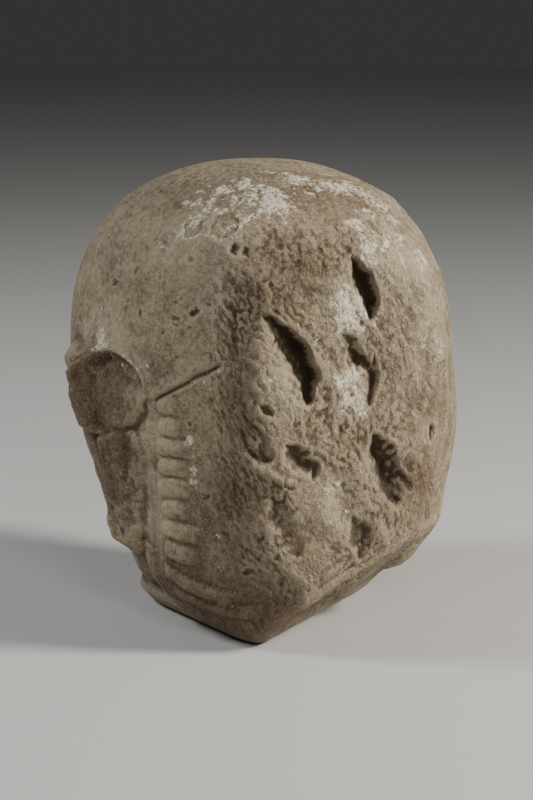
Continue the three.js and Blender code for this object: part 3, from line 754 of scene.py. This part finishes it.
def isSocket(value):
    return isinstance(value, bpy.types.NodeSocket)


def setInputs(node, inputs):  # with a link, or with a value on the socket itself
    for name, value in inputs.items():
        if isSocket(value):
            node.id_data.links.new(value, node.inputs[name])
        else:
            node.inputs[name].default_value = value


def addNode(kind, inputs=None, tree=None, **settings):  # in the given tree or its inputs' own
    inputs = inputs or {}
    tree = tree or next(value.id_data for value in inputs.values() if isSocket(value))
    made = tree.nodes.new("ShaderNode" + kind)
    for name, value in settings.items():
        setattr(made, name, value)
    setInputs(made, inputs)
    return made


def newMaterial(name):
    material = bpy.data.materials.new(name)
    material.use_nodes = True
    tree = material.node_tree
    return material, tree.nodes["Principled BSDF"], addNode("TexCoord", tree=tree).outputs["Object"]


def noiseAt(where, scale, detail=3.0, roughness=0.55, distortion=0.0, output="Fac"):
    return addNode("TexNoise", {
        "Vector": where, "Scale": scale, "Detail": detail, "Roughness": roughness, "Distortion": distortion,
    }).outputs[output]


def cellsAt(where, scale, feature="F1"):
    made = addNode("TexVoronoi", {"Vector": where, "Scale": scale}, feature=feature)
    return made.outputs["Distance"]


def maths(operation, a, b=0.0, c=0.0):
    return addNode("Math", {0: a, 1: b, 2: c}, operation=operation).outputs[0]


def times(a, b):
    return maths("MULTIPLY", a, b)


def plus(a, b):
    return maths("ADD", a, b)


def minus(a, b):
    return maths("SUBTRACT", a, b)


def vectorMaths(operation, inputs):
    return addNode("VectorMath", inputs, operation=operation).outputs[0]


def spread(value, lowest, highest, toLow=0.0, toHigh=1.0):
    inputs = {"Value": value, "From Min": lowest, "From Max": highest, "To Min": toLow, "To Max": toHigh}
    return addNode("MapRange", inputs, interpolation_type="SMOOTHSTEP").outputs["Result"]


def blendColour(share, a, b):
    colours = [c if isSocket(c) else (*c, 1.0) for c in (a, b)]
    inputs = {0: share, 6: colours[0], 7: colours[1]}
    return addNode("Mix", inputs, data_type="RGBA").outputs[2]


def readMarks(material, name):  # the three values that addMarks put at each point
    colour = addNode("Attribute", tree=material.node_tree, attribute_name=name).outputs["Color"]
    return addNode("SeparateColor", {"Color": colour}).outputs[:3]


def shifted(vector, where, scale, detail, far):  # a vector moved about by a noise
    noise = noiseAt(where, scale, detail, 0.5, output="Color")
    return vectorMaths("ADD", {0: vector, 1: vectorMaths("SCALE", {0: noise, "Scale": far})})


def makeRaggedPatch():  # a soft mask broken up into lacy patches
    group = bpy.data.node_groups.new("raggedPatch", "ShaderNodeTree")
    addSocket = group.interface.new_socket
    addSocket("Where", in_out="INPUT", socket_type="NodeSocketVector")
    for name, value in {"Mask": 0.5, "Scale": 60.0, "Ragged": 1.0, "Softness": 0.1}.items():
        addSocket(name, in_out="INPUT", socket_type="NodeSocketFloat").default_value = value
    addSocket("Patch", in_out="OUTPUT", socket_type="NodeSocketFloat")
    where, mask, scale, ragged, softness = group.nodes.new("NodeGroupInput").outputs[:5]
    noise = noiseAt(where, scale, 6.0, 0.68, 0.3)
    value = plus(mask, times(minus(noise, 0.5), ragged))
    patch = spread(value, minus(0.5, softness), plus(0.5, softness))
    group.links.new(patch, group.nodes.new("NodeGroupOutput").inputs["Patch"])
    return group


raggedPatch = makeRaggedPatch()

stoneLook = {
    "colours": {
        "pale": (0.4, 0.315, 0.205), "mid": (0.235, 0.176, 0.107), "deep": (0.115, 0.08, 0.045),
        # the pale of worn edges and dust also paints highlights and sheen
        "warm": (0.24, 0.166, 0.105), "paleWearAndHighlight": (0.5, 0.42, 0.29), "crust": (0.9, 0.83, 0.66),
        "brown": (0.098, 0.054, 0.022), "greyGreen": (0.152, 0.138, 0.088),
        # the dark brown below darkens the hollows, partly as dirt and partly as painted shade, and paints
        # shade on the blows' walls
        "dirtAndShade": (0.058, 0.036, 0.019), "speck": (0.08, 0.058, 0.036),
    },
    "noises": {  # scale, detail, roughness, distortion
        "cloud": (16, 5, 0.6, 0.4), "mottle": (95, 5, 0.65, 0.3), "leather": (230, 3, 0.6, 0.4),
        "grain": (420, 4, 0.7), "crumb": (520, 2, 0.6), "powder": (1000, 3, 0.7),
    },
    "warmth": (24, 4, 0.6, 0.5), "warmthAside": (0.31, 0.17, 0.23),
    "strokeNoises": {"stroke": (430, 5, 0.68), "streak": (110, 5, 0.6)},  # drawn out along the tool's stroke
    "stretch": 2.1, "swirl": (22, 1, 0.03), "bend": (120, 2, 0.004),  # scale, detail, metres
    "specks": 260, "pecks": 230,
    "ground": (0.34, 0.62),
    # noise, where its tint begins and is full, least and greatest share, colour
    "tints": [("warmth", 0.47, 0.66, 0, 0.8, "warm"), ("mottle", 0.38, 0.7, 0.1, 0.7, "pale"),
              # the grain tints follow the grain relief, paler on its tops and darker in its dips: partly
              # mottling, partly painted shade
              ("grain", 0.52, 0.7, 0, 0.6, "pale"), ("grain", 0.47, 0.31, 0, 0.6, "deep")],
    # painted shade in the strokes' dips and painted highlight on their tops, on the broken stone
    "strokeShadeAndHighlight": [("stroke", 0.52, 0.4, 0, 0.75, "deep"), ("stroke", 0.53, 0.64, 0, 0.6, "pale")],
    "streaks": [("streak", 0.48, 0.34, 0, 0.6, "deep"), ("streak", 0.52, 0.68, 0, 0.55, "pale")],
    "powderTints": [("powder", 0.46, 0.33, 0, 0.6, "speck")],
    "patches": {  # scale, raggedness, softness
        "hazeAndHighlight": (40, 1.2, 0.4), "brown": (70, 1.2, 0.42), "greyGreen": (60, 1.1, 0.35),
        "dirtAndShade": (120, 0.5, 0.2), "wall": (200, 0.5, 0.3), "edge": (160, 0.55, 0.14),
        "crust": (85, 2.4, 0.05), "flecks": (280, 1.8, 0.08),
    },
    "shares": {"hazeAndHighlight": 0.75, "brown": 0.88, "greyGreen": 0.8, "speck": 0.35, "crust": 0.95},
    "speckSize": (0.22, 0.08), "speckMottle": (0.5, 0.6),
    "hollow": (0.62, 0.38),  # how much the fine and the broad hollows count
    "dirtAndShade": (0.16, -0.75, 0.8),  # taken off the hollow, share lost where pale, share
    "wall": (0.3, 0.55),  # ragged and even share of the painted shade on a blow's walls
    "edge": (0.94, -0.42, 0.55),  # the hollow is taken off this, share lost where brown, share
    "crust": (0.56, 0.06, 0.85), "flecks": (0.42, 0.08, 0.8),  # slope and start of the mask, share
    "crustGrain": (0.42, 0.52, 0.15, 1),
    "dust": (0.54, 0.68), "dustShare": (-0.45, 0.5),  # share lost on a blow's walls, share
    "roughness": (0.56, 0.84), "roughnessMottle": (0.3, 0.7), "brokenRoughness": 0.94, "specular": 0.4,
    # relief too fine for the mesh, in millimetres
    "heights": {"grain": 0.3, "leather": 0.5, "stroke": 0.6, "crumb": 0.5}, "crustHeight": 0.12,
    "pits": (0.05, 0.3, 0.35, 0.48, 0.62),  # bottom and rim from a cell's middle, depth, mottle
    "peckMarks": (0.1, 0.62, 0.6, 0.36, 0.6),
    "strokeOnSkin": 0.25,
    "noiseSwing": 4,  # brings a noise, which keeps near its middle, to full height
}


def patchOf(where, mask, name):
    scale, ragged, softness = stoneLook["patches"][name]
    inputs = {"Where": where, "Mask": mask, "Scale": scale, "Ragged": ragged, "Softness": softness}
    return addNode("Group", inputs, node_tree=raggedPatch).outputs["Patch"]


def tinted(colour, share, name, most=None):
    share = times(share, most) if most else share
    return blendColour(share, colour, stoneLook["colours"][name])


def addTints(colour, noises, tints, within=None):
    for noise, begin, full, least, most, name in tints:
        colour = tinted(colour, spread(noises[noise], begin, full, least, most), name, within)
    return colour


def stoneNoises(where):
    look = stoneLook
    noises = {name: noiseAt(where, *spec) for name, spec in look["noises"].items()}
    aside = vectorMaths("ADD", {0: where, 1: look["warmthAside"]})
    noises["warmth"] = noiseAt(aside, *look["warmth"])
    along = Vector(placeMark(*weather["leanStroke"])[2]).to_track_quat("Z", "Y").to_euler()
    turned = addNode("Mapping", {
        "Vector": shifted(where, where, *look["swirl"]), "Rotation": tuple(along),
        "Scale": (1.0, 1.0, look["stretch"])}, vector_type="TEXTURE").outputs["Vector"]
    bent = shifted(turned, where, *look["bend"])
    for name, spec in look["strokeNoises"].items():
        noises[name] = noiseAt(bent, *spec)
    noises["specks"] = cellsAt(where, look["specks"])
    noises["pecks"] = cellsAt(bent, look["pecks"], "SMOOTH_F1")
    return noises


def stoneColour(where, noises, rough, hollow, stainAndShade, shade, pale):  # also where the crust is
    look, shares = stoneLook, stoneLook["shares"]
    crusted, browned, greyed = stainAndShade
    ground = spread(noises["cloud"], *look["ground"])
    colour = blendColour(ground, look["colours"]["deep"], look["colours"]["mid"])
    colour = addTints(colour, noises, look["tints"])
    # pale powder, and painted highlights and sheen
    colour = tinted(colour, patchOf(where, pale, "hazeAndHighlight"), "paleWearAndHighlight", shares["hazeAndHighlight"])
    # painted shade and highlight along the tool's strokes on the broken stone
    colour = addTints(colour, noises, look["strokeShadeAndHighlight"], within=rough)
    colour = addTints(colour, noises, look["streaks"])
    brown = patchOf(where, browned, "brown")
    colour = tinted(colour, brown, "brown", shares["brown"])
    colour = tinted(colour, patchOf(where, greyed, "greyGreen"), "greyGreen", shares["greyGreen"])
    # dark specks, then the hollows darkened, partly dirt and partly painted shade, and painted shade on the
    # blows' walls, then the worn edges
    # the specks darken the small pits' bottoms: partly dirt, partly painted shade
    speck = spread(noises["specks"], *look["speckSize"])
    speck = times(speck, spread(noises["mottle"], *look["speckMottle"]))
    colour = tinted(colour, speck, "speck", shares["speck"])
    # the hollows darkened, partly dirt and partly painted shade
    least, onPale, most = look["dirtAndShade"]
    dirtAndShade = patchOf(where, minus(hollow, least), "dirtAndShade")
    colour = tinted(colour, dirtAndShade, "dirtAndShade", maths("MULTIPLY_ADD", pale, onPale, most))
    # painted shade on the blows' walls, in the dark brown of the hollows
    ragged, even = look["wall"]
    wall = patchOf(where, shade, "wall")
    wall = maths("MULTIPLY_ADD", wall, ragged, times(shade, even))
    colour = tinted(colour, wall, "dirtAndShade")
    least, onBrown, most = look["edge"]
    edge = patchOf(where, minus(least, hollow), "edge")
    colour = tinted(colour, edge, "paleWearAndHighlight", maths("MULTIPLY_ADD", brown, onBrown, most))
    # crust in patches and flecks, then dust and powder
    layers = []
    for name in ("crust", "flecks"):
        slope, start, share = look[name]
        layer = patchOf(where, maths("MULTIPLY_ADD", crusted, slope, start), name)
        layers.append(times(layer, share))
    crust = times(maths("MAXIMUM", *layers), spread(noises["grain"], *look["crustGrain"]))
    colour = tinted(colour, crust, "crust", shares["crust"])
    dust = spread(noises["powder"], *look["dust"])
    colour = tinted(colour, dust, "paleWearAndHighlight", maths("MULTIPLY_ADD", shade, *look["dustShare"]))
    return addTints(colour, noises, look["powderTints"]), crust


def raised(noises, name):
    return times(minus(noises[name], 0.5), stoneLook["heights"][name] * stoneLook["noiseSwing"])


def sunken(noises, cells, deepest, rim, depth, bare, full):  # small pits where the mottle lets them be
    pits = spread(noises[cells], deepest, rim, -depth, 0.0)
    return times(pits, spread(noises["mottle"], bare, full))


def stoneHeight(noises, rough, granular, crust):
    look = stoneLook
    skin = raised(noises, "grain")
    skin = plus(skin, raised(noises, "leather"))
    skin = plus(skin, sunken(noises, "specks", *look["pits"]))
    cut = raised(noises, "stroke")
    cut = plus(cut, sunken(noises, "pecks", *look["peckMarks"]))
    cut = times(cut, spread(rough, 0.0, 1.0, look["strokeOnSkin"], 1.0))
    height = plus(skin, cut)
    height = plus(height, times(crust, look["crustHeight"]))
    crumbs = raised(noises, "crumb")
    return plus(height, times(crumbs, granular))


def makeStone():
    look = stoneLook
    material, shader, where = newMaterial("weatheredStone")
    rough, fine, broad = readMarks(material, "wear")
    shade, pale, granular = readMarks(material, "shadePaleAndCrumb")
    noises = stoneNoises(where)
    hollow = plus(times(fine, look["hollow"][0]), times(broad, look["hollow"][1]))
    colour, crust = stoneColour(where, noises, rough, hollow, readMarks(material, "stainsAndPaintedLight"), shade, pale)
    matt = spread(noises["mottle"], *look["roughnessMottle"], *look["roughness"])
    broken = times(maths("MAXIMUM", rough, granular), look["brokenRoughness"])
    height = stoneHeight(noises, rough, granular, crust)
    bump = addNode("Bump", {"Height": height, "Distance": 0.001, "Strength": 1.0})
    setInputs(shader, {
        "Base Color": colour, "Roughness": maths("MAXIMUM", matt, broken), "Normal": bump.outputs["Normal"],
        "Specular IOR Level": look["specular"],
    })
    return material


headMesh.materials.append(makeStone())
print("stone made")

room = {
    "floor": (0.58, 0.575, 0.56), "darker": 0.96, "noise": 3, "roughness": 0.9, "radius": 4, "corners": 96,
    "wall": (0.8, 0.8, 0.8), "wallLight": 0.05,
}


def makeRoom():
    mesh = bpy.data.meshes.new("floor")
    corners = np.linspace(0, 2 * math.pi, room["corners"], endpoint=False)
    rim = [(math.cos(a) * room["radius"], math.sin(a) * room["radius"], 0.0) for a in corners]
    mesh.from_pydata(rim, [], [list(range(room["corners"]))])
    floor = placeObject("floor", mesh)
    material, shader, where = newMaterial("paleFloor")
    darker = tuple(c * room["darker"] for c in room["floor"])
    tint = blendColour(noiseAt(where, room["noise"]), room["floor"], darker)
    setInputs(shader, {"Base Color": tint, "Roughness": room["roughness"]})
    mesh.materials.append(material)
    world = bpy.data.worlds.new("studio")
    world.use_nodes = True
    wall = {"Color": (*room["wall"], 1.0), "Strength": room["wallLight"]}
    setInputs(world.node_tree.nodes["Background"], wall)
    bpy.context.scene.world = world


lampAim = (0.0, 0.0, 0.125)  # metres
lamps = {  # bearing, degrees above level, distance, size, power, colour
    "key": (-34, 31, 1.5, 0.3, 31, (1.0, 0.96, 0.9)),
    "top": (28, 34, 1.5, 0.4, 3.4, (1.0, 0.98, 0.94)),
    "rim": (128, 42, 1.5, 0.4, 12, (0.97, 0.98, 1.0)),
}


def makeLamp(name, bearing, up, distance, size, power, colour):
    light = bpy.data.lights.new(name, "AREA")
    light.shape = "DISK"
    light.size = size
    light.energy = power
    light.color = colour
    lamp = placeObject(name, light)
    out = Vector(facing(bearing, -up))
    lamp.location = Vector(lampAim) + out * distance
    lamp.rotation_euler = out.to_track_quat("Z", "Y").to_euler()


shot = {  # the photograph's viewing angle in degrees, lengths in millimetres, the frame in pixels
    "side": -42.0, "up": 12.0, "lens": 110.0, "sensor": 36, "distance": 1329.8, "frame": (533, 800),
    "target": (0.0, 0.0, 116.0), "targetPixel": (260.0, 398.0),  # this spot shows at this pixel
}


def makeCamera():
    a = math.radians(shot["side"])
    right = Vector((math.cos(a), math.sin(a), 0.0))
    back = Vector(facing(-shot["side"], -shot["up"]))
    up = back.cross(right)
    wide, tall = shot["frame"]
    perPixel = shot["distance"] / (shot["lens"] / shot["sensor"] * tall)
    offRight = (wide / 2 - shot["targetPixel"][0]) * perPixel
    offUp = (shot["targetPixel"][1] - tall / 2) * perPixel
    target = Vector(shot["target"]) - Vector((*headBlock["middle"], 0.0))
    place = (target + right * offRight + up * offUp + back * shot["distance"]) / 1000
    camera = placeObject("camera", bpy.data.cameras.new("camera"))
    camera.data.lens = shot["lens"]
    camera.data.sensor_width = shot["sensor"]
    camera.matrix_world = Matrix.Translation(place) @ Matrix((right, up, back)).transposed().to_4x4()
    bpy.context.scene.camera = camera


makeRoom()
for lampName, lampSpec in lamps.items():
    makeLamp(lampName, *lampSpec)
makeCamera()
print("room, lamps and camera made")
